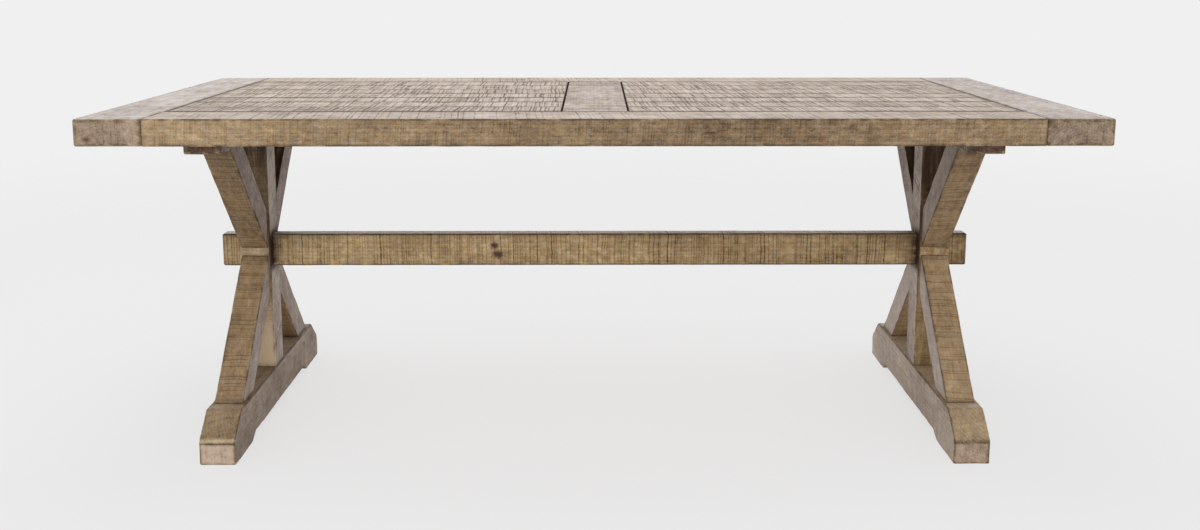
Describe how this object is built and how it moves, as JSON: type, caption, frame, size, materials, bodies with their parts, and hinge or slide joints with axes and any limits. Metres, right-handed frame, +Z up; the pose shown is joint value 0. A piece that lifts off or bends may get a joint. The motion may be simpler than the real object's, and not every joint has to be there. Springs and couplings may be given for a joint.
{
  "type": "trestle table",
  "caption": "Long dining table with a framed plank top, two braced trestles on shaped feet and a through stretcher.",
  "frame": {"origin": "on the floor, under the middle of the top", "axes": "+X along the table's length, +Y from the front long edge to the back one, +Z up"},
  "size_m": [2.134, 1.016, 0.787],
  "materials": {
    "frame_boards": "matte",
    "end_boards": "matte",
    "planks": "matte",
    "crosspiece_wood": "matte",
    "battens": "matte",
    "trestle_wood": "matte",
    "foot_wood": "matte",
    "brace_wood": "matte",
    "stretcher_wood": "matte",
    "dowels": "matte",
    "screws": "satin",
    "bolt_steel": "satin"
  },
  "bodies": {
    "root": {"back_rail": "frame_boards", "bolt_washers": "bolt_steel", "brace_dowels": "dowels", "centre_bearer": "battens", "centre_crosspiece": "crosspiece_wood", "cleat_screws": "screws", "foot_screws": "screws", "front_rail": "frame_boards", "left_back_lower_brace": "brace_wood", "left_back_upper_brace": "brace_wood", "left_cleat": "trestle_wood", "left_end_board": "end_boards", "left_field_batten": "battens", "left_foot": "foot_wood", "left_front_lower_brace": "brace_wood", "left_front_upper_brace": "brace_wood", "left_plank_1": "planks", "left_plank_2": "planks", "left_plank_3": "planks", "left_plank_4": "planks", "left_plank_5": "planks", "left_plank_6": "planks", "left_plank_7": "planks", "left_post": "trestle_wood", "left_trestle_bearer": "battens", "plank_screws": "screws", "right_back_lower_brace": "brace_wood", "right_back_upper_brace": "brace_wood", "right_cleat": "trestle_wood", "right_end_board": "end_boards", "right_field_batten": "battens", "right_foot": "foot_wood", "right_front_lower_brace": "brace_wood", "right_front_upper_brace": "brace_wood", "right_plank_1": "planks", "right_plank_2": "planks", "right_plank_3": "planks", "right_plank_4": "planks", "right_plank_5": "planks", "right_plank_6": "planks", "right_plank_7": "planks", "right_post": "trestle_wood", "right_trestle_bearer": "battens", "stretcher": "stretcher_wood", "stretcher_screws": "screws", "threaded_inserts": "bolt_steel", "top_bolts": "bolt_steel"}
  },
  "joints": []
}
